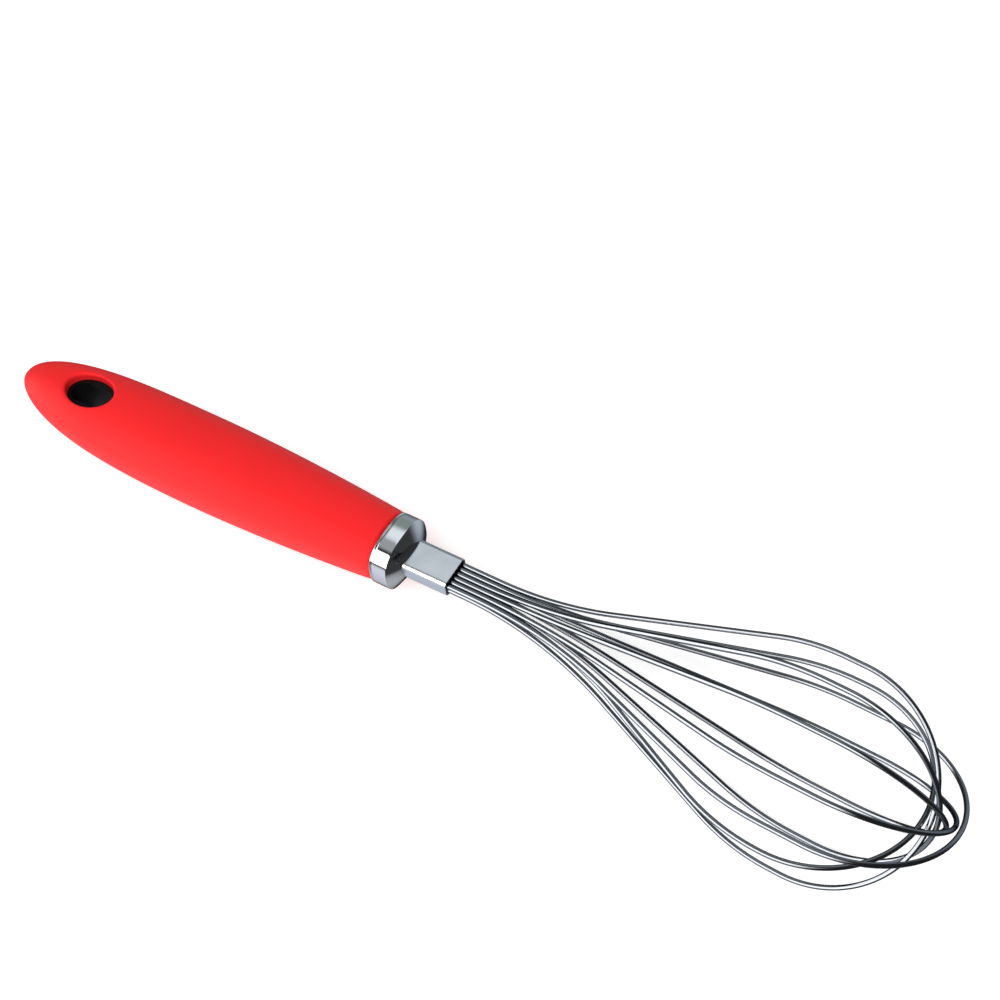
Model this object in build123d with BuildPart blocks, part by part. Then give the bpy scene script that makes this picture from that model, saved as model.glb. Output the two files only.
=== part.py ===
from build123d import *
import math
import os

os.makedirs("parts", exist_ok=True)

# Working frame while building: X runs along the whisk from the handle to the balloon,
# X = 0 is the open mouth of the ferrule, Z is up out of the flat top of the handle.
# At the end every piece is laid down together in the resting pose.

# ---- wire loops ----
wire_diameter = 1.4
wire_count = 6
wire_pitch = 1.52            # sideways spacing of the wires in the ferrule
row_height = 0.85            # each of the two rows lies this far above or below the middle
wire_depth = 12.0            # length of wire potted inside the ferrule
balloon_radius = 28.7        # half width of every loop, and radius of its round front end
first_reach = 136.3          # how far the innermost loop reaches beyond the mouth
reach_step = 1.8             # each loop passes over the one before it at the tip
flare_starts = [28.7, 31.9, 27.7, 27.6, 28.2, 30.0]     # corner where each wire starts to spread
flare_end = 95.0             # corner where a wire runs straight again
flare_start_radius = 110.0
flare_end_radius = 55.0
lean_side = -1.9             # the bent balloon leans a little to one side, in degrees
lean_up = -0.4
loop_angles = [42.6, -7.1, 75.6, 103.8, 131.7, 155.8]   # turn of each loop about the axis
loop_order = [1, 0, 2, 3, 4, 5]                         # nesting at the tip, innermost is 0
loop_sideways = [-1.7, -1.6, -1.2, -0.1, 0.0, -0.9]     # hand-bent loops sit a little off the middle
loop_upward = [-1.1, -0.2, 0.4, -0.2, -0.3, -0.5]

# ---- ferrule ----
ferrule_width = 10.2
ferrule_height = 5.5
ferrule_corner = 1.3
ferrule_wall = 0.5
ferrule_back = -46.0
plug_back = -16.0
plug_front = -1.2

# ---- collar ----
collar_back = -21.0
collar_front = -15.4
collar_width = 19.8
collar_height = 16.8
collar_corner = 6.2
collar_dome = 2.8
spigot_length = 4.0
spigot_width = 14.0
spigot_height = 8.0

# ---- handle ----
butt = -145.4
grip_front_half_width = 10.1
grip_front_half_height = 8.6
grip_widest = -86.0
grip_half_width = 13.2
butt_radius = 8.0
grip_top = 11.3
grip_bottom = -10.5
butt_top = 9.6
butt_bottom = -2.8
edge_round = 6.0
core_edge_round = 2.4
skin = 3.0                   # thickness of the soft skin over the core
hole_x = -120.6
hole_length = 17.0
hole_width = 11.8
core_hole_length = 13.4
core_hole_width = 6.4
rim_round = 1.3

# ---- resting pose ----
rest_tilt = -5.59


def handle_plan(inset):
    """Closed outline of the handle seen from above, drawn with three tangent arcs per side."""
    front = collar_back - (0 if inset == 0 else 1.0)
    wide = grip_half_width - inset
    nose = butt_radius - inset
    tip = butt + inset
    # big side arc tangent to the round end: centre below the widest point
    run = (grip_widest - (tip + nose))
    side = (run * run + wide * wide - nose * nose) / (2 * (wide - nose))
    # where the side arc meets the end arc, on the line through both centres
    away = Vector(tip + nose - grip_widest, side - wide, 0)
    meet = Vector(grip_widest, wide - side, 0) + away.normalized() * side
    half_turn = math.atan2(meet.X - grip_widest, meet.Y - (wide - side)) / 2
    between = Vector(grip_widest + side * math.sin(half_turn), wide - side + side * math.cos(half_turn), 0)
    front_half = grip_front_half_width - inset
    drop = wide - front_half
    reach = front - grip_widest
    front_arc = (reach * reach + drop * drop) / (2 * drop)
    quarter = math.asin(reach / front_arc) / 2
    bulge = Vector(
        grip_widest + front_arc * math.sin(quarter), wide - front_arc + front_arc * math.cos(quarter), 0
    )
    upper = [Vector(front, front_half, 0), bulge, Vector(grip_widest, wide, 0), between, meet]
    lower = [Vector(point.X, -point.Y, 0) for point in upper]
    with BuildLine() as outline:
        ThreePointArc(upper[0], upper[1], upper[2])
        ThreePointArc(upper[2], upper[3], upper[4])
        ThreePointArc(upper[4], Vector(tip, 0, 0), lower[4])
        ThreePointArc(lower[4], lower[3], lower[2])
        ThreePointArc(lower[2], lower[1], lower[0])
        Line(lower[0], upper[0])
    return outline.wires()[0]


def handle_side(inset):
    """Closed outline of the handle seen from the side: two long arcs, the butt a little raised."""
    front = collar_back + 1
    back = butt - 2
    high = grip_front_half_height - inset
    with BuildLine(Plane.XZ) as outline:
        ThreePointArc((front, high), (grip_widest, grip_top - inset), (back, butt_top - inset))
        Line((back, butt_top - inset), (back, butt_bottom + inset))
        ThreePointArc((back, butt_bottom + inset), (grip_widest, grip_bottom + inset), (front, -high))
        Line((front, -high), (front, high))
    return outline.wires()[0]


# ---- handle core: hard inner body, with a pocket for the ferrule ----
with BuildPart() as core_blank:
    with BuildSketch(Plane.XY.offset(-20)):
        add(handle_plan(skin))
        make_face()
    extrude(amount=40)
    with BuildSketch(Plane.XZ):
        add(handle_side(skin))
        make_face()
    extrude(amount=20, both=True, mode=Mode.INTERSECT)
    front_edges = core_blank.edges().filter_by_position(Axis.X, collar_back - 1.01, collar_back)
    fillet(core_blank.edges().filter_by(lambda edge: edge.length > 4 and edge not in front_edges), core_edge_round)

with BuildPart() as handle_core:
    add(core_blank.part)
    with BuildSketch(Plane.XY.offset(-20)):
        with Locations((hole_x, 0)):
            SlotOverall(core_hole_length, core_hole_width)
    extrude(amount=40, mode=Mode.SUBTRACT)
    with BuildSketch(Plane.YZ.offset(ferrule_back)):
        RectangleRounded(ferrule_width, ferrule_height, ferrule_corner)
    extrude(amount=40, mode=Mode.SUBTRACT)
    with BuildSketch(Plane.YZ.offset(collar_back - spigot_length)):
        RectangleRounded(spigot_width, spigot_height, 3.0)
    extrude(amount=spigot_length, mode=Mode.SUBTRACT)

# ---- handle grip: soft skin moulded over the core, with a rounded hanging hole ----
with BuildPart() as handle_grip:
    with BuildSketch(Plane.XY.offset(-20)):
        add(handle_plan(0))
        make_face()
    extrude(amount=40)
    with BuildSketch(Plane.XZ):
        add(handle_side(0))
        make_face()
    extrude(amount=20, both=True, mode=Mode.INTERSECT)
    front_edges = handle_grip.edges().filter_by_position(Axis.X, collar_back - 0.01, collar_back + 2)
    fillet(handle_grip.edges().filter_by(lambda edge: edge.length > 4 and edge not in front_edges), edge_round)
    before_hole = handle_grip.edges()
    with BuildSketch(Plane.XY.offset(-20)):
        with Locations((hole_x, 0)):
            SlotOverall(hole_length - rim_round, hole_width - rim_round)
    extrude(amount=40, mode=Mode.SUBTRACT)
    rim = handle_grip.edges().filter_by_position(Axis.X, hole_x - hole_length / 2, hole_x + hole_length / 2)
    rim = rim.filter_by(lambda edge: edge.bounding_box().size.Z < 3 and abs(edge.center().Y) < hole_width / 2)
    fillet(rim, rim_round)
    add(core_blank.part, mode=Mode.SUBTRACT)
    with BuildSketch(Plane.YZ.offset(collar_back - 2)):
        RectangleRounded(spigot_width, spigot_height, 3.0)
    extrude(amount=6, mode=Mode.SUBTRACT)

# ---- collar: chromed cap on the front of the handle, with a spigot into the core ----
with BuildPart() as end_collar:
    with BuildSketch(Plane.YZ.offset(collar_back)):
        RectangleRounded(collar_width, collar_height, collar_corner)
    extrude(amount=collar_front - collar_back)
    fillet(end_collar.faces().sort_by(Axis.X)[-1].edges(), 0.4)
    with BuildSketch(Plane.YZ.offset(collar_front)):
        RectangleRounded(collar_width - 1.2, collar_height - 1.2, collar_corner - 0.6)
    extrude(amount=collar_dome, taper=46)
    fillet(end_collar.faces().sort_by(Axis.X)[-1].edges(), 2.0)
    chamfer(end_collar.faces().filter_by(Axis.X).sort_by(Axis.X)[0].edges(), 0.35)
    with BuildSketch(Plane.YZ.offset(collar_back - spigot_length)):
        RectangleRounded(spigot_width, spigot_height, 3.0)
    extrude(amount=spigot_length + 0.5)
    with BuildSketch(Plane.YZ.offset(collar_back - spigot_length - 1)):
        RectangleRounded(ferrule_width, ferrule_height, ferrule_corner)
    extrude(amount=20, mode=Mode.SUBTRACT)

# ---- ferrule: flattened tube with rounded corners, its back half gripped inside the core ----
with BuildPart() as ferrule:
    with BuildSketch(Plane.YZ.offset(ferrule_back)):
        RectangleRounded(ferrule_width, ferrule_height, ferrule_corner)
        RectangleRounded(
            ferrule_width - 2 * ferrule_wall,
            ferrule_height - 2 * ferrule_wall,
            ferrule_corner - ferrule_wall,
            mode=Mode.SUBTRACT,
        )
    extrude(amount=-ferrule_back)
    mouth = ferrule.faces().sort_by(Axis.X)[-1]
    fillet(mouth.edges(), 0.18)


# ---- wire loops: straight in the ferrule, flaring out, then a half round front end ----
def corner_arc(before, corner, after, radius):
    """Three points of the arc that rounds one corner of a path."""
    back = (before - corner).normalized()
    ahead = (after - corner).normalized()
    half = math.acos(max(-1.0, min(1.0, back.dot(ahead)))) / 2
    cut = radius / math.tan(half)
    middle = (back + ahead).normalized() * (radius / math.sin(half) - radius)
    return corner + back * cut, corner + middle, corner + ahead * cut


lean = Rotation(0, -lean_up, lean_side)


def leaned(x, y, z):
    """Point of the balloon after it leans about the middle of the ferrule mouth."""
    return (lean * Pos(x, y, z)).position


wires = []
for number in range(wire_count):
    turn = math.radians(loop_angles[number])
    reach = first_reach + reach_step * loop_order[number]
    across = Vector(0, math.cos(turn), math.sin(turn))
    round_start = reach - balloon_radius
    middle = Vector(0, loop_sideways[number], loop_upward[number])
    sides = []
    for way in (1, -1):
        foot_y = way * (wire_count - 1 - 2 * number) / 2 * wire_pitch
        foot_z = way * row_height
        shoulder = middle + across * (way * balloon_radius)
        end = Vector(-wire_depth, foot_y, foot_z)
        spread = Vector(flare_starts[number], foot_y, foot_z)
        full = leaned(flare_end, shoulder.Y, shoulder.Z)
        straight_end = leaned(round_start, shoulder.Y, shoulder.Z)
        first = corner_arc(end, spread, full, flare_start_radius)
        second = corner_arc(spread, full, straight_end, flare_end_radius)
        sides.append([end, first, second, straight_end])
    tip = leaned(reach, middle.Y, middle.Z)
    there, back = sides
    with BuildPart() as wire_loop:
        with BuildLine() as path:
            Line(there[0], there[1][0])
            ThreePointArc(*there[1])
            Line(there[1][2], there[2][0])
            ThreePointArc(*there[2])
            Line(there[2][2], there[3])
            ThreePointArc(there[3], tip, back[3])
            Line(back[3], back[2][2])
            ThreePointArc(back[2][2], back[2][1], back[2][0])
            Line(back[2][0], back[1][2])
            ThreePointArc(back[1][2], back[1][1], back[1][0])
            Line(back[1][0], back[0])
        with BuildSketch(Plane(origin=there[0], z_dir=(1, 0, 0))):
            Circle(wire_diameter / 2)
        sweep()
    wires.append(wire_loop.part)

# ---- ferrule plug: hard filler around the wire ends ----
with BuildPart() as ferrule_plug:
    with BuildSketch(Plane.YZ.offset(plug_back)):
        RectangleRounded(
            ferrule_width - 2 * ferrule_wall,
            ferrule_height - 2 * ferrule_wall,
            ferrule_corner - ferrule_wall,
        )
    extrude(amount=plug_front - plug_back)
    for wire in wires:
        add(wire, mode=Mode.SUBTRACT)

# ---- lay the whisk down and export one file per piece ----
pieces = {
    "handle_grip": handle_grip.part,
    "handle_core": handle_core.part,
    "end_collar": end_collar.part,
    "ferrule": ferrule.part,
    "ferrule_plug": ferrule_plug.part,
}
for number, wire in enumerate(wires):
    pieces[f"wire_loop_{number + 1}"] = wire

tilted = {label: Rotation(0, rest_tilt, 0) * piece for label, piece in pieces.items()}
boxes = [piece.bounding_box(optimal=True) for piece in tilted.values()]
low = Vector(min(b.min.X for b in boxes), min(b.min.Y for b in boxes), min(b.min.Z for b in boxes))
high = Vector(max(b.max.X for b in boxes), max(b.max.Y for b in boxes), max(b.max.Z for b in boxes))
home = Pos(-(low.X + high.X) / 2, -(low.Y + high.Y) / 2, -low.Z)
for label, piece in tilted.items():
    resting = home * piece
    resting.label = label
    export_step(resting, f"parts/{label}.step")
    box = resting.bounding_box(optimal=True)
    print(label, round(resting.volume, 1), "z", round(box.min.Z, 2), round(box.max.Z, 2))
print("shift", home.position, "span", low, high)
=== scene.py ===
import bpy
import math
import mathutils
import numpy as np
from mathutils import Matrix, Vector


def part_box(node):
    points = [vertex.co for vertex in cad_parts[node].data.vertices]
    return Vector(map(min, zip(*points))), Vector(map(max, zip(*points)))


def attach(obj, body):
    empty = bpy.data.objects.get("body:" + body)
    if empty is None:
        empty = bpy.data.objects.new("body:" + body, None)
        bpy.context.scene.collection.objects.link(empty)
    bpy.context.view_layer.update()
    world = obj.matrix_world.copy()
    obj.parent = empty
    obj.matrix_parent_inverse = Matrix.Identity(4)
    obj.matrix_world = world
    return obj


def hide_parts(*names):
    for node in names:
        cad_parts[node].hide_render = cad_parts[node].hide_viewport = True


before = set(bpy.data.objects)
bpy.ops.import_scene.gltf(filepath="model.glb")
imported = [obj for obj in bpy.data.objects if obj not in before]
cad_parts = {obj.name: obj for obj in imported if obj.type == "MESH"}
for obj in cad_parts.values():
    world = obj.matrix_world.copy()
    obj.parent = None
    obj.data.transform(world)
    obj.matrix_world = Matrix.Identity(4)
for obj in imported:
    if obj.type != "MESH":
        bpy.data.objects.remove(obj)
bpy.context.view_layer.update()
print("stage: frame loaded")


# how the whisk lies: its tilt on the floor in degrees, and half the ferrule's length in metres
pose = {"restTilt": 5.59, "ferruleHalfLength": 0.023}
tilt = math.radians(pose["restTilt"])
alongWhisk = np.array([math.cos(tilt), 0.0, math.sin(tilt)])
acrossWhisk = np.array([0.0, 1.0, 0.0])
outOfTop = np.array([-math.sin(tilt), 0.0, math.cos(tilt)])
ferruleLow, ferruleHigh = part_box("ferrule")
ferruleMiddle = (np.array(ferruleLow) + np.array(ferruleHigh)) / 2
mouth = ferruleMiddle + alongWhisk * pose["ferruleHalfLength"]


def toFrame(points):
    # point = mouth + x along the whisk + y across it + z out of its flat top
    return mouth + points[..., 0:1] * alongWhisk + points[..., 1:2] * acrossWhisk + points[..., 2:3] * outOfTop


def gridMesh(name, points, closeU, closeV, capStart=False, capEnd=False, uvSize=(1.0, 1.0)):
    # one quad between each four neighbours of a rows by columns grid, with the last row or column joined
    # to the first where the surface closes; a cap is a fan of triangles round the middle of an end row
    rows, cols = points.shape[:2]
    u = np.arange(rows if closeU else rows - 1)
    v = np.arange(cols if closeV else cols - 1)
    uu, vv = np.meshgrid(u, v, indexing="ij")
    un = (uu + 1) % rows
    vn = (vv + 1) % cols
    quads = np.stack([uu * cols + vv, un * cols + vv, un * cols + vn, uu * cols + vn], -1).reshape(-1, 4)
    verts = points.reshape(-1, 3)
    quadUv = np.stack([
        np.stack([uu / rows, vv / cols], -1), np.stack([(uu + 1) / rows, vv / cols], -1),
        np.stack([(uu + 1) / rows, (vv + 1) / cols], -1), np.stack([uu / rows, (vv + 1) / cols], -1),
    ], -2).reshape(-1, 2)
    faces = [quads.ravel()]
    sizes = [np.full(len(quads), 4)]
    uvs = [quadUv]
    ring = np.arange(cols)
    for wanted, row in ((capStart, 0), (capEnd, rows - 1)):
        if not wanted:
            continue
        verts = np.vstack([verts, points[row].mean(0, keepdims=True)])
        middle = np.full(cols, len(verts) - 1)
        a, b = row * cols + ring, row * cols + (ring + 1) % cols
        fan = np.stack([middle, a, b] if row == 0 else [middle, b, a], -1)
        faces.append(fan.ravel())
        sizes.append(np.full(cols, 3))
        uvs.append(np.full((cols * 3, 2), row / rows))
    loops = np.concatenate(faces).astype(np.int32)
    sizes = np.concatenate(sizes).astype(np.int32)
    starts = np.concatenate([[0], np.cumsum(sizes)[:-1]]).astype(np.int32)
    mesh = bpy.data.meshes.new(name)
    mesh.vertices.add(len(verts))
    mesh.vertices.foreach_set("co", verts.astype(np.float32).ravel())
    mesh.loops.add(len(loops))
    mesh.loops.foreach_set("vertex_index", loops)
    mesh.polygons.add(len(sizes))
    mesh.polygons.foreach_set("loop_start", starts)
    mesh.polygons.foreach_set("loop_total", sizes)
    mesh.polygons.foreach_set("use_smooth", np.ones(len(sizes), dtype=bool))
    layer = mesh.uv_layers.new(name="along")
    layer.data.foreach_set("uv", (np.concatenate(uvs) * np.array(uvSize)).astype(np.float32).ravel())
    mesh.update(calc_edges=True)
    mesh.validate()
    piece = bpy.data.objects.new(name, mesh)
    bpy.context.scene.collection.objects.link(piece)
    return piece


def node(tree, kind, **values):
    # adds one shader node and sets its properties
    made = tree.nodes.new(kind)
    for key, value in values.items():
        setattr(made, key, value)
    return made


def newMaterial(name):
    # an empty material with its node tree and its main shader
    material = bpy.data.materials.new(name)
    material.use_nodes = True
    tree = material.node_tree
    return material, tree, tree.nodes["Principled BSDF"]


def addNoise(tree, vector, size, detail):
    # cloudy noise over the given coordinates
    noise = node(tree, "ShaderNodeTexNoise")
    noise.inputs["Scale"].default_value = size
    noise.inputs["Detail"].default_value = detail
    tree.links.new(vector, noise.inputs["Vector"])
    return noise.outputs["Fac"]


def addSpread(tree, value, inside, outside):
    # carries one range of values evenly onto another
    spread = node(tree, "ShaderNodeMapRange")
    spread.inputs["From Min"].default_value, spread.inputs["From Max"].default_value = inside
    spread.inputs["To Min"].default_value, spread.inputs["To Max"].default_value = outside
    tree.links.new(value, spread.inputs["Value"])
    return spread.outputs["Result"]


def addBump(tree, shader, height, strength, distance):
    # bends the shading as if the surface rose by up to the distance
    bump = node(tree, "ShaderNodeBump")
    bump.inputs["Strength"].default_value = strength
    bump.inputs["Distance"].default_value = distance
    tree.links.new(height, bump.inputs["Height"])
    tree.links.new(bump.outputs["Normal"], shader.inputs["Normal"])


wireLook = {
    "base": (0.27, 0.28, 0.295, 1.0), "edge": (0.25, 0.26, 0.28, 1.0), "roughness": 0.10,
    "dullPatches": 0.06, "patchSize": 300.0, "patchDetail": 3.0, "patchRange": (0.35, 0.7),
    "lineStretch": (40.0, 60.0, 1.0), "lineDetail": 2.0, "lineStrength": 0.02, "lineHeight": 0.0002,
}


def makeWireMaterial():
    # polished stainless wire: long faint drawing lines, and patches where the polish is duller
    material, tree, shader = newMaterial("polished wire")
    place = node(tree, "ShaderNodeTexCoord")
    patches = addNoise(tree, place.outputs["Object"], wireLook["patchSize"], wireLook["patchDetail"])
    dullest = wireLook["roughness"] + wireLook["dullPatches"]
    polish = addSpread(tree, patches, wireLook["patchRange"], (wireLook["roughness"], dullest))
    tree.links.new(polish, shader.inputs["Roughness"])
    stretch = node(tree, "ShaderNodeMapping")
    stretch.inputs["Scale"].default_value = wireLook["lineStretch"]
    tree.links.new(place.outputs["UV"], stretch.inputs["Vector"])
    lines = addNoise(tree, stretch.outputs["Vector"], 1.0, wireLook["lineDetail"])
    addBump(tree, shader, lines, wireLook["lineStrength"], wireLook["lineHeight"])
    shader.inputs["Base Color"].default_value = wireLook["base"]
    shader.inputs["Specular Tint"].default_value = wireLook["edge"]
    shader.inputs["Metallic"].default_value = 1.0
    return material


gripLook = {
    "red": (0.96, 0.022, 0.024, 1.0), "deepRed": (0.80, 0.014, 0.016, 1.0), "specular": 0.22,
    "driftSize": 45.0, "driftDetail": 4.0, "driftRange": (0.35, 0.8), "deepShare": 0.25,
    "roughness": 0.46, "rubVary": 0.05, "rubSize": 160.0, "rubDetail": 5.0,
    "grain": 9000.0, "grainDetail": 2.0, "grainStrength": 0.35, "grainHeight": 0.00002,
}


def makeGripMaterial():
    # soft-touch red rubber: very fine moulded grain, slow colour drift, uneven gloss where it is rubbed
    material, tree, shader = newMaterial("red soft touch")
    place = node(tree, "ShaderNodeTexCoord").outputs["Object"]
    drift = addNoise(tree, place, gripLook["driftSize"], gripLook["driftDetail"])
    blend = node(tree, "ShaderNodeMix", data_type="RGBA")
    blend.inputs["A"].default_value = gripLook["red"]
    blend.inputs["B"].default_value = gripLook["deepRed"]
    share = addSpread(tree, drift, gripLook["driftRange"], (0.0, gripLook["deepShare"]))
    tree.links.new(share, blend.inputs["Factor"])
    tree.links.new(blend.outputs["Result"], shader.inputs["Base Color"])
    rub = addNoise(tree, place, gripLook["rubSize"], gripLook["rubDetail"])
    glossRange = (gripLook["roughness"] - gripLook["rubVary"], gripLook["roughness"] + gripLook["rubVary"])
    tree.links.new(addSpread(tree, rub, (0.0, 1.0), glossRange), shader.inputs["Roughness"])
    grain = addNoise(tree, place, gripLook["grain"], gripLook["grainDetail"])
    addBump(tree, shader, grain, gripLook["grainStrength"], gripLook["grainHeight"])
    shader.inputs["Specular IOR Level"].default_value = gripLook["specular"]
    return material


collarLook = {
    "base": (0.86, 0.87, 0.88, 1.0), "edge": (0.5, 0.5, 0.52, 1.0), "roughness": 0.05, "vary": 0.05,
    "cloudSize": 220.0, "cloudDetail": 4.0, "cloudRange": (0.3, 0.75),
    "scratchSize": 900.0, "scratchDetail": 3.0, "scratchStrength": 0.3, "scratchHeight": 0.00001,
    "scratchStretch": (0.2, 1.0, 1.0),
}
ferruleLook = {
    "base": (0.74, 0.77, 0.80, 1.0), "edge": (0.5, 0.52, 0.55, 1.0), "roughness": 0.20, "vary": 0.06,
    "cloudSize": 220.0, "cloudDetail": 4.0, "cloudRange": (0.3, 0.75),
    "scratchSize": 2500.0, "scratchDetail": 3.0, "scratchStrength": 0.3, "scratchHeight": 0.000006,
    "scratchStretch": (0.05, 1.0, 1.0),
}


def makeMetalMaterial(name, look):
    # plated or polished metal: cloudy roughness, and fine scratches drawn out along the whisk
    material, tree, shader = newMaterial(name)
    place = node(tree, "ShaderNodeTexCoord").outputs["Object"]
    cloud = addNoise(tree, place, look["cloudSize"], look["cloudDetail"])
    polish = addSpread(tree, cloud, look["cloudRange"], (look["roughness"], look["roughness"] + look["vary"]))
    tree.links.new(polish, shader.inputs["Roughness"])
    longer = node(tree, "ShaderNodeMapping")
    longer.inputs["Scale"].default_value = look["scratchStretch"]
    tree.links.new(place, longer.inputs["Vector"])
    scratch = addNoise(tree, longer.outputs["Vector"], look["scratchSize"], look["scratchDetail"])
    addBump(tree, shader, scratch, look["scratchStrength"], look["scratchHeight"])
    shader.inputs["Base Color"].default_value = look["base"]
    shader.inputs["Specular Tint"].default_value = look["edge"]
    shader.inputs["Metallic"].default_value = 1.0
    return material


# the core is nearly black, five times darker than the filler, so the inside of the hanging hole shows black
coreLook = {
    "colour": (0.002, 0.002, 0.0022), "lighter": 1.8, "roughness": 0.6, "specular": 0.12,
    "grainSize": 900.0, "grainDetail": 4.0, "grainStrength": 0.4, "grainHeight": 0.00006,
}
plugLook = {
    "colour": (0.01, 0.01, 0.01), "lighter": 1.8, "roughness": 0.6, "specular": 0.12,
    "grainSize": 1500.0, "grainDetail": 4.0, "grainStrength": 0.4, "grainHeight": 0.00006,
}


def makeDarkMaterial(name, look):
    # dark moulded plastic or filler: a fine uneven surface whose grains run from the colour to a lighter one
    material, tree, shader = newMaterial(name)
    place = node(tree, "ShaderNodeTexCoord").outputs["Object"]
    grain = addNoise(tree, place, look["grainSize"], look["grainDetail"])
    tone = node(tree, "ShaderNodeMix", data_type="RGBA")
    tone.inputs["A"].default_value = look["colour"] + (1.0,)
    tone.inputs["B"].default_value = tuple(c * look["lighter"] for c in look["colour"]) + (1.0,)
    tree.links.new(grain, tone.inputs["Factor"])
    tree.links.new(tone.outputs["Result"], shader.inputs["Base Color"])
    addBump(tree, shader, grain, look["grainStrength"], look["grainHeight"])
    shader.inputs["Roughness"].default_value = look["roughness"]
    shader.inputs["Specular IOR Level"].default_value = look["specular"]
    return material


wireMaterial = makeWireMaterial()
gripMaterial = makeGripMaterial()
collarMaterial = makeMetalMaterial("bright chrome", collarLook)
cadMaterials = {
    "handle_core": makeDarkMaterial("black core", coreLook),
    "ferrule": makeMetalMaterial("satin steel", ferruleLook),
    "ferrule_plug": makeDarkMaterial("dark filler", plugLook),
}
for label, material in cadMaterials.items():
    cadNode = bpy.data.objects[label]
    cadNode.data.materials.clear()
    cadNode.data.materials.append(material)
print("stage: materials made")


# lengths in metres; places along the whisk count from the ferrule's mouth, and the handle is on the
# negative side; thickness is a share of the width, and section is the superellipse's power
gripShape = {
    "butt": -0.1452, "widest": -0.085, "front": -0.0212, "halfWidth": 0.0131, "frontHalfWidth": 0.0100,
    "buttPower": 3, "taperPower": 1.8, "thickness": 0.85, "section": 2.25, "middle": 0.0002,
    "buttRise": 0.0036, "flatter": 0.13, "flatterAt": -0.115, "flatterLength": 0.028,
    "hole": -0.1206, "holeHalfLength": 0.0078, "holeHalfWidth": 0.0054, "rim": 0.0014,
    "frontEdge": 0.0006, "around": 256, "out": 64, "wall": 12, "rimSteps": 8, "outlineSteps": 2000,
    "holeTurnShare": 0.6,
}


def gripHalfWidth(x):
    # behind the widest place the root of one less the cube of the share of the way to the butt, ahead of
    # it a slow taper to the collar by a power of the share of the way
    behind = np.clip((gripShape["widest"] - x) / (gripShape["widest"] - gripShape["butt"]), 0, 1)
    ahead = np.clip((x - gripShape["widest"]) / (gripShape["front"] - gripShape["widest"]), 0, 1)
    drop = gripShape["halfWidth"] - gripShape["frontHalfWidth"]
    return gripShape["halfWidth"] * np.sqrt(
        1 - behind ** gripShape["buttPower"]) - drop * ahead ** gripShape["taperPower"]


def gripHalfHeight(x, y):
    # half the width there, to be multiplied by the thickness; it falls to nothing at the sides by a
    # superellipse section and at the front by a small quarter circle
    wide = np.maximum(gripHalfWidth(x), 1e-7)  # no division by nothing at the butt
    oval = (1 - np.clip(np.abs(y) / wide, 0, 1) ** gripShape["section"]) ** (1 / gripShape["section"])
    near = np.clip((x - gripShape["front"] + gripShape["frontEdge"]) / gripShape["frontEdge"], 0, 1)
    return wide * oval * np.sqrt(1 - near ** 2)


def gripThicknessBelow(x):
    # the underside is a little flatter where it rests on the floor, by a bell curve along the handle
    bell = np.exp(-((x - gripShape["flatterAt"]) / gripShape["flatterLength"]) ** 2)
    return gripShape["thickness"] * (1 - gripShape["flatter"] * bell)


def gripMiddle(x):
    # the middle line curves up toward the butt with the square of the distance
    behind = np.clip((gripShape["widest"] - x) / (gripShape["widest"] - gripShape["butt"]), 0, 1)
    return gripShape["middle"] + gripShape["buttRise"] * behind ** 2


def gripOutline(count):
    # closed plan outline by even steps of length, starting at the middle of the front and turning toward +Y
    swing = np.linspace(0, math.pi, gripShape["outlineSteps"])
    length = gripShape["front"] - gripShape["butt"]
    x = gripShape["butt"] + length * (1 + np.cos(swing)) / 2
    y = gripHalfWidth(x)
    half = np.vstack([np.array([[gripShape["front"], 0.0]]), np.stack([x, y], -1)])
    half[-1, 1] = 0.0
    run = np.concatenate([[0], np.cumsum(np.linalg.norm(np.diff(half, axis=0), axis=1))])
    even = np.linspace(0, run[-1], count // 2 + 1)
    side = np.stack([np.interp(even, run, half[:, i]) for i in range(2)], -1)
    return np.vstack([side, side[-2:0:-1] * np.array([1.0, -1.0])])


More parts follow.
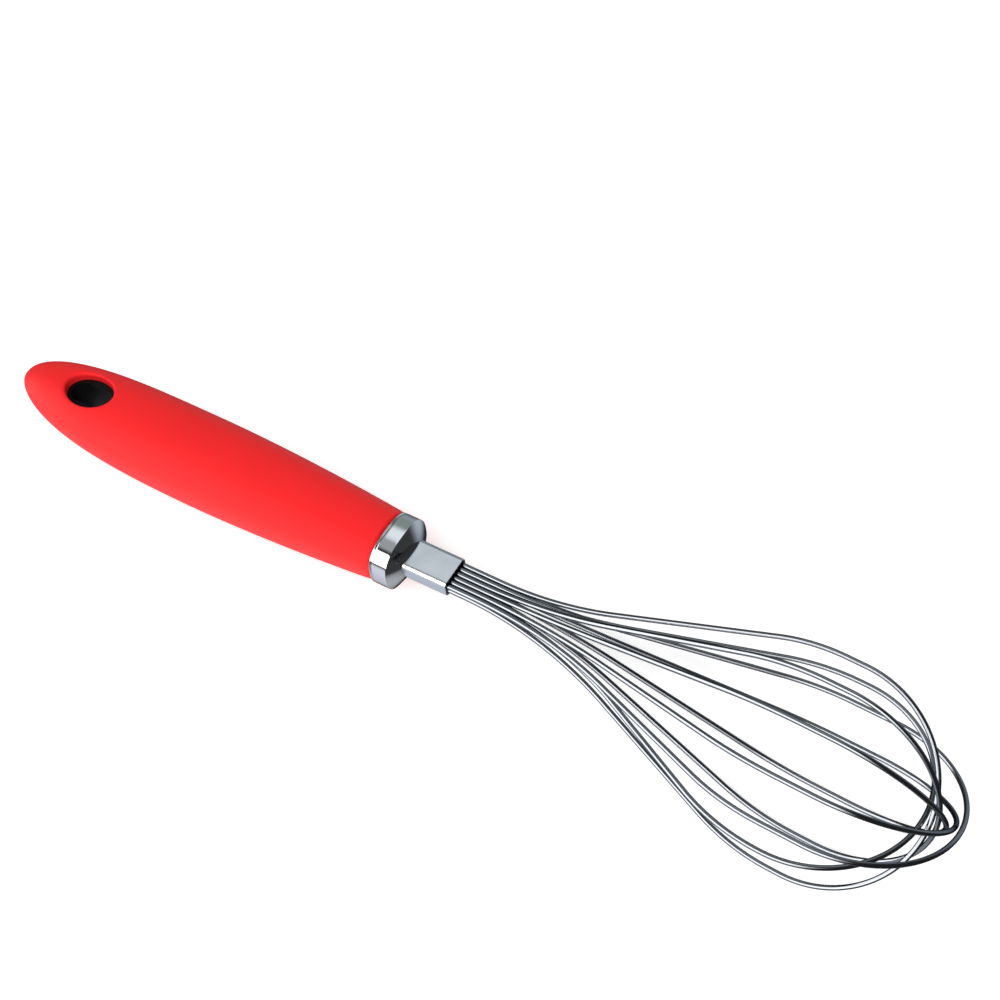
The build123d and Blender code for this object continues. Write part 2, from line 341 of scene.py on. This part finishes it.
def makeGrip():
    # rings run from the hanging hole's rim outward over the top to the outline, back in below, and up the
    # hole's wall; the hole is an ellipse whose points turn by a mix of the outline's turn and an even one,
    # and its rim is rounded by a quarter circle
    count = gripShape["around"]
    outline = gripOutline(count)
    fromHole = outline - np.array([gripShape["hole"], 0.0])
    turn = np.arctan2(fromHole[:, 1] / gripShape["holeHalfWidth"], fromHole[:, 0] / gripShape["holeHalfLength"])
    share = gripShape["holeTurnShare"]
    turn = share * np.unwrap(turn) + (1 - share) * np.linspace(0, 2 * math.pi, count, endpoint=False)
    wall = np.stack([
        gripShape["hole"] + gripShape["holeHalfLength"] * np.cos(turn),
        gripShape["holeHalfWidth"] * np.sin(turn),
    ], -1)
    reach = np.linalg.norm(outline - wall, axis=1)
    heading = (outline - wall) / reach[:, None]
    rim = gripShape["rim"]
    roll = np.linspace(0, math.pi / 2, gripShape["rimSteps"])[:, None]
    over = np.linspace(0, math.pi / 2, gripShape["out"] + 1)[1:]
    away = np.concatenate([
        np.broadcast_to(rim * (1 - np.cos(roll)), (len(roll), count)),
        rim + (reach - rim)[None] * np.sin(over)[:, None],
    ])
    sunk = np.concatenate([rim * (1 - np.sin(roll)), np.zeros((gripShape["out"], 1))])
    plan = wall[None] + away[..., None] * heading[None]
    plan[-1] = outline
    x, y = plan[..., 0], plan[..., 1]
    tall = gripHalfHeight(x, y)
    tall[-1] = 0.0  # the outline itself lies on the middle line
    top = np.stack([x, y, gripMiddle(x) + gripShape["thickness"] * tall - sunk], -1)
    below = np.stack([x, y, gripMiddle(x) - gripThicknessBelow(x) * tall + sunk], -1)[-2::-1]
    climb = np.linspace(0, 1, gripShape["wall"] + 1)[1:-1, None, None]
    inside = below[-1][None] * (1 - climb) + top[0][None] * climb
    points = toFrame(np.concatenate([top, below, inside]))
    piece = gridMesh("grip", points, True, True)
    piece.data.materials.append(gripMaterial)
    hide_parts("handle_grip")
    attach(piece, "root")


makeGrip()
print("stage: grip made")


# lengths in metres; behind and edge give pairs: how far ahead of the back or behind the front a ring is,
# and how far inside the band's section
collarShape = {
    "back": -0.0210, "front": -0.0156, "halfWidth": 0.0099, "halfHeight": 0.0084, "corner": 2.6,
    "behind": (
        (0.0, 0.0009), (0.0, 0.00015), (0.0002, 0.0), (0.0004, 0.0001), (0.0004, 0.00045),
        (0.0007, 0.00045), (0.0007, 0.00015), (0.00088, 0.00002),
    ),
    "edge": ((0.00006, 0.00002), (0.0, 0.00010)), "bandEnds": (0.0010, 0.0002), "bandSteps": 10,
    "dome": 0.0030, "domeLevel": 0.965, "domeSteps": 24, "around": 192,
    "holeHalfWidth": 0.00495, "holeHalfHeight": 0.0026, "holePower": 0.35, "holeSink": 0.001,
}


def roundedTurn(power):
    # one turn of cosine and sine, each raised to the power with its sign kept
    turn = np.linspace(0, 2 * math.pi, collarShape["around"], endpoint=False)
    unit = np.stack([np.cos(turn), np.sin(turn)], -1)
    return np.sign(unit) * np.abs(unit) ** power


def makeCollar():
    # a superellipse section carried along a profile: back lip, groove, band, crisp edge, then a dome whose
    # height falls with the square of the distance from the axis measured in the band's own section
    halfSize = np.array([collarShape["halfWidth"], collarShape["halfHeight"]])
    holeSize = np.array([collarShape["holeHalfWidth"], collarShape["holeHalfHeight"]])
    corner, back, front = (collarShape[key] for key in ("corner", "back", "front"))
    outer = roundedTurn(2 / corner) * halfSize
    inner = roundedTurn(collarShape["holePower"]) * holeSize
    behind, edge = np.array(collarShape["behind"]), np.array(collarShape["edge"])
    startGap, endGap = collarShape["bandEnds"]
    band = np.linspace(back + startGap, front - endGap, collarShape["bandSteps"])
    bandX = np.concatenate([back + behind[:, 0], band, front - edge[:, 0]])[:, None, None]
    inset = np.concatenate([behind[:, 1], np.zeros(len(band)), edge[:, 1]])[:, None, None]
    bandRings = outer * (1 - inset / halfSize)
    shrink = np.linspace(0, 1, collarShape["domeSteps"] + 1)[1:, None, None]
    domeRings = bandRings[-1] * (1 - shrink) + inner * shrink
    size = ((np.abs(domeRings / halfSize) ** corner).sum(-1) ** (1 / corner))[..., None]
    domeX = front + collarShape["dome"] * (collarShape["domeLevel"] - size ** 2)
    holeX = np.array([front - collarShape["holeSink"], back])[:, None, None]
    holeRings = np.stack([inner, inner])
    rings = np.concatenate([bandRings, domeRings, holeRings])
    ringX = np.concatenate([np.broadcast_to(x, (len(x), len(outer), 1)) for x in (bandX, domeX, holeX)])
    piece = gridMesh("collar", toFrame(np.concatenate([ringX, rings], -1)), True, True)
    piece.data.materials.append(collarMaterial)
    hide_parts("end_collar")
    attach(piece, "root")


makeCollar()
print("stage: collar made")


# angles and leans in degrees, lengths in metres; order is how many loops lie inside each one
wireShape = {
    "radius": 0.0007, "sides": 24, "step": 0.0006, "depth": 0.0118, "pitch": 0.00152, "row": 0.00085,
    "angles": (42.6, -7.1, 75.6, 103.8, 131.7, 155.8), "order": (1, 0, 2, 3, 4, 5),
    "sideways": (-0.0017, -0.0016, -0.0012, -0.0001, 0.0, -0.0009),
    "upward": (-0.0011, -0.0002, 0.0004, -0.0002, -0.0003, -0.0005),
    "flareStart": (0.0287, 0.0319, 0.0277, 0.0276, 0.0282, 0.0300), "flareEnd": 0.095,
    "startRadius": 0.110, "endRadius": 0.055, "roundRadius": 0.0287,
    "firstReach": 0.1363, "reachStep": 0.0018, "leanSide": -1.9, "leanUp": -0.4,
    "arcSteps": 60, "roundSteps": 160, "uvPerMetre": 10,
}
leanUp = math.radians(wireShape["leanUp"])
leanSide = math.radians(wireShape["leanSide"])
leanTurn = np.array([
    [math.cos(leanUp), 0, -math.sin(leanUp)], [0, 1, 0], [math.sin(leanUp), 0, math.cos(leanUp)],
]) @ np.array([
    [math.cos(leanSide), -math.sin(leanSide), 0], [math.sin(leanSide), math.cos(leanSide), 0], [0, 0, 1],
])


def cornerArc(before, corner, after, radius):
    # circle of the given radius that touches both straight runs meeting at the corner
    back = (before - corner) / np.linalg.norm(before - corner)
    ahead = (after - corner) / np.linalg.norm(after - corner)
    half = math.acos(float(np.clip(back @ ahead, -1, 1))) / 2
    middle = (back + ahead) / np.linalg.norm(back + ahead)
    centre = corner + middle * radius / math.sin(half)
    first = (corner + back * radius / math.tan(half) - centre) / radius
    last = (corner + ahead * radius / math.tan(half) - centre) / radius
    sideways = last - (last @ first) * first
    sideways = sideways / np.linalg.norm(sideways)
    turn = np.linspace(0, math.pi - 2 * half, wireShape["arcSteps"])[:, None]
    return centre + radius * (np.cos(turn) * first + np.sin(turn) * sideways)


def wirePath(number):
    # straight in the ferrule, arc outward, straight, arc back, straight, half circle, and the same back again
    turn = math.radians(wireShape["angles"][number])
    across = np.array([0.0, math.cos(turn), math.sin(turn)])
    reach = wireShape["firstReach"] + wireShape["reachStep"] * wireShape["order"][number]
    roundStart = reach - wireShape["roundRadius"]
    middle = np.array([0.0, wireShape["sideways"][number], wireShape["upward"][number]])
    halves = []
    for way in (1, -1):
        footY = way * ((len(wireShape["angles"]) - 1) / 2 - number) * wireShape["pitch"]
        footZ = way * wireShape["row"]
        shoulder = middle + across * way * wireShape["roundRadius"]
        end = np.array([-wireShape["depth"], footY, footZ])
        spread = np.array([wireShape["flareStart"][number], footY, footZ])
        full = leanTurn @ np.array([wireShape["flareEnd"], shoulder[1], shoulder[2]])
        straightEnd = leanTurn @ np.array([roundStart, shoulder[1], shoulder[2]])
        halves.append(np.vstack([
            end[None], cornerArc(end, spread, full, wireShape["startRadius"]),
            cornerArc(spread, full, straightEnd, wireShape["endRadius"]), straightEnd[None],
        ]))
    sweep = np.linspace(0, math.pi, wireShape["roundSteps"])[1:-1, None]
    front = np.array([roundStart, 0, 0]) + middle + wireShape["roundRadius"] * (
        np.cos(sweep) * across + np.sin(sweep) * np.array([1.0, 0, 0]))
    path = np.vstack([halves[0], front @ leanTurn.T, halves[1][::-1]])
    length = np.concatenate([[0], np.cumsum(np.linalg.norm(np.diff(path, axis=0), axis=1))])
    even = np.linspace(0, length[-1], int(length[-1] / wireShape["step"]))
    return np.stack([np.interp(even, length, path[:, i]) for i in range(3)], -1), across, length[-1]


def makeWire(number):
    # a circle carried along the path, held square to it, with the loop's flat as the reference direction
    path, across, length = wirePath(number)
    forward = np.gradient(path, axis=0)
    forward = forward / np.linalg.norm(forward, axis=1, keepdims=True)
    flat = leanTurn @ np.cross(np.array([1.0, 0, 0]), across)
    side = flat - (forward @ flat)[:, None] * forward
    side = side / np.linalg.norm(side, axis=1, keepdims=True)
    other = np.cross(forward, side)
    turn = np.linspace(0, 2 * math.pi, wireShape["sides"], endpoint=False)
    ring = np.cos(turn)[None, :, None] * side[:, None, :] + np.sin(turn)[None, :, None] * other[:, None, :]
    points = toFrame(path[:, None, :] + wireShape["radius"] * ring)
    uvSize = (length * wireShape["uvPerMetre"], 1.0)
    piece = gridMesh(f"wireLoop{number + 1}", points[:, ::-1], False, True, True, True, uvSize)
    piece.data.materials.append(wireMaterial)
    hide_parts(f"wire_loop_{number + 1}")
    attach(piece, "root")


for number in range(len(wireShape["angles"])):
    makeWire(number)
print("stage: wires made")


# a pale floor that glows a little and that shiny surfaces don't see
floorLook = {"half": 3.0, "below": 0.0002, "colour": (0.93, 0.93, 0.93, 1.0), "roughness": 0.9, "glow": 0.45}
bpy.ops.mesh.primitive_plane_add(size=floorLook["half"] * 2, location=(0, 0, -floorLook["below"]))
floor = bpy.context.object
floor.name = "floor"
floorMaterial, _, floorShader = newMaterial("pale floor")
floorShader.inputs["Base Color"].default_value = floorLook["colour"]
floorShader.inputs["Roughness"].default_value = floorLook["roughness"]
floorShader.inputs["Specular IOR Level"].default_value = 0.0
floorShader.inputs["Emission Color"].default_value = (1.0, 1.0, 1.0, 1.0)
floorShader.inputs["Emission Strength"].default_value = floorLook["glow"]
floor.data.materials.append(floorMaterial)
floor.visible_glossy = False

# one large soft lamp, aimed at the whisk and not seen in shiny surfaces; metres and watts
keyLight = {"from": (0.00, -0.58, 1.05), "aim": (0.0, 0.0, 0.02), "size": (0.9, 0.7), "power": 12.0}
keyData = bpy.data.lights.new("key", "AREA")
keyData.shape = "RECTANGLE"
keyData.size, keyData.size_y = keyLight["size"]
keyData.energy = keyLight["power"]
lamp = bpy.data.objects.new("key", keyData)
bpy.context.scene.collection.objects.link(lamp)
lamp.location = mathutils.Vector(keyLight["from"])
lamp.rotation_euler = (mathutils.Vector(keyLight["aim"]) - lamp.location).to_track_quat("-Z", "Y").to_euler()
lamp.visible_glossy = False

# soft panels that only shiny surfaces see: each is a direction, the cosines to it where the panel fades out
# and where it is full, and its colour; a later one covers an earlier one
panels = {
    "above": {"toward": (-0.30, 0.28, 0.91), "fade": (0.82, 0.92), "colour": (0.34, 0.355, 0.365)},
    "above ferrule": {"toward": (-0.30, 0.46, 0.84), "fade": (0.955, 0.985), "colour": (0.84, 0.90, 0.95)},
    "far high": {"toward": (-0.30, 0.85, 0.43), "fade": (0.84, 0.95), "colour": (0.22, 0.27, 0.26)},
    "far side": {"toward": (0.22, 0.94, -0.15), "fade": (0.66, 0.93), "colour": (0.44, 0.49, 0.56)},
    "below": {"toward": (-0.30, -0.60, -0.74), "fade": (0.72, 0.90), "colour": (0.70, 0.73, 0.82)},
    "near end": {"toward": (0.35, -0.15, -0.93), "fade": (0.85, 0.97), "colour": (0.45, 0.46, 0.48)},
}
# one long bright strip, high on the near side and parallel to the whisk: for each of three directions the
# cosines where it fades out and where it is full, and its colour
strip = {
    "sideways": {"toward": (0.0, 0.506, 0.863), "fade": (0.53, 0.43)},
    "ahead": {"toward": (1.0, 0.0, 0.0), "fade": (0.50, 0.10)},
    "near": {"toward": (0.0, -0.863, 0.506), "fade": (0.0, 0.2)},
    "colour": (3.8, 3.8, 3.85),
}
# what shiny surfaces see between the panels, what the viewer sees, and how much of that lights the rest
worldLook = {"shadow": (0.04, 0.041, 0.044), "backdrop": (1.0, 1.0, 1.0), "strength": 0.30}


def facingShare(tree, place, toward, limits, bothWays=False):
    # the dot product of the ray's direction with a fixed one, smoothed from 0 to 1 between the limits; both
    # ways takes its size without the sign
    facing = node(tree, "ShaderNodeVectorMath", operation="DOT_PRODUCT")
    facing.inputs[1].default_value = toward
    tree.links.new(place, facing.inputs[0])
    cosine = facing.outputs["Value"]
    if bothWays:
        size = node(tree, "ShaderNodeMath", operation="ABSOLUTE")
        tree.links.new(cosine, size.inputs[0])
        cosine = size.outputs["Value"]
    fade = node(tree, "ShaderNodeMapRange", interpolation_type="SMOOTHSTEP")
    fade.inputs["From Min"].default_value, fade.inputs["From Max"].default_value = limits
    tree.links.new(cosine, fade.inputs["Value"])
    return fade.outputs["Result"]


def multiply(tree, first, second):
    # the product of two values
    both = node(tree, "ShaderNodeMath", operation="MULTIPLY")
    tree.links.new(first, both.inputs[0])
    tree.links.new(second, both.inputs[1])
    return both.outputs["Value"]


def layer(tree, under, colour, share):
    # a colour laid over what is under it by its share; under is a link, or a plain colour for the first
    mix = node(tree, "ShaderNodeMix", data_type="RGBA")
    if isinstance(under, tuple):
        mix.inputs["A"].default_value = under + (1.0,)
    else:
        tree.links.new(under, mix.inputs["A"])
    if isinstance(colour, tuple):
        mix.inputs["B"].default_value = colour + (1.0,)
    else:
        tree.links.new(colour, mix.inputs["B"])
    tree.links.new(share, mix.inputs["Factor"])
    return mix.outputs["Result"]


def makeWorld():
    # shiny surfaces see the dark room with its soft panels, everything else sees an even pale backdrop
    world = bpy.data.worlds.new("studio")
    bpy.context.scene.world = world
    world.use_nodes = True
    tree = world.node_tree
    place = node(tree, "ShaderNodeTexCoord").outputs["Generated"]
    room = worldLook["shadow"]
    for about in panels.values():
        toward = mathutils.Vector(about["toward"]).normalized()
        room = layer(tree, room, about["colour"], facingShare(tree, place, toward, about["fade"]))
    sideways = facingShare(tree, place, strip["sideways"]["toward"], strip["sideways"]["fade"], True)
    ahead = facingShare(tree, place, strip["ahead"]["toward"], strip["ahead"]["fade"])
    near = facingShare(tree, place, strip["near"]["toward"], strip["near"]["fade"])
    room = layer(tree, room, strip["colour"], multiply(tree, multiply(tree, sideways, ahead), near))
    path = node(tree, "ShaderNodeLightPath")
    even = tuple(c * worldLook["strength"] for c in worldLook["backdrop"])
    lighting = layer(tree, even, room, path.outputs["Is Glossy Ray"])
    seen = layer(tree, lighting, worldLook["backdrop"], path.outputs["Is Camera Ray"])
    tree.links.new(seen, tree.nodes["Background"].inputs["Color"])


makeWorld()

# where the viewer stands and looks, in the whisk's own directions and metres; lens and sensor in
# millimetres
cameraLook = {
    "place": (0.2041, -0.2328, 0.4610), "right": (0.8523, 0.5149, -0.092),
    "forward": (-0.3638, 0.4572, -0.8116), "lens": 75.62, "sensor": 36.0, "clip": (0.01, 20.0),
}
axes = np.stack([alongWhisk, acrossWhisk, outOfTop], -1)
forward = axes @ np.array(cameraLook["forward"])
forward = forward / np.linalg.norm(forward)
right = axes @ np.array(cameraLook["right"])
right = right - (right @ forward) * forward
right = right / np.linalg.norm(right)
cameraData = bpy.data.cameras.new("camera")
cameraData.lens = cameraLook["lens"]
cameraData.sensor_width = cameraLook["sensor"]
cameraData.clip_start, cameraData.clip_end = cameraLook["clip"]
camera = bpy.data.objects.new("camera", cameraData)
camera.location = toFrame(np.array(cameraLook["place"]))
camera.rotation_euler = mathutils.Matrix(
    np.stack([right, np.cross(right, forward), -forward], -1).tolist()).to_euler()
bpy.context.scene.collection.objects.link(camera)
bpy.context.scene.camera = camera
bpy.context.scene.view_settings.view_transform = "Standard"
print("stage: studio ready")
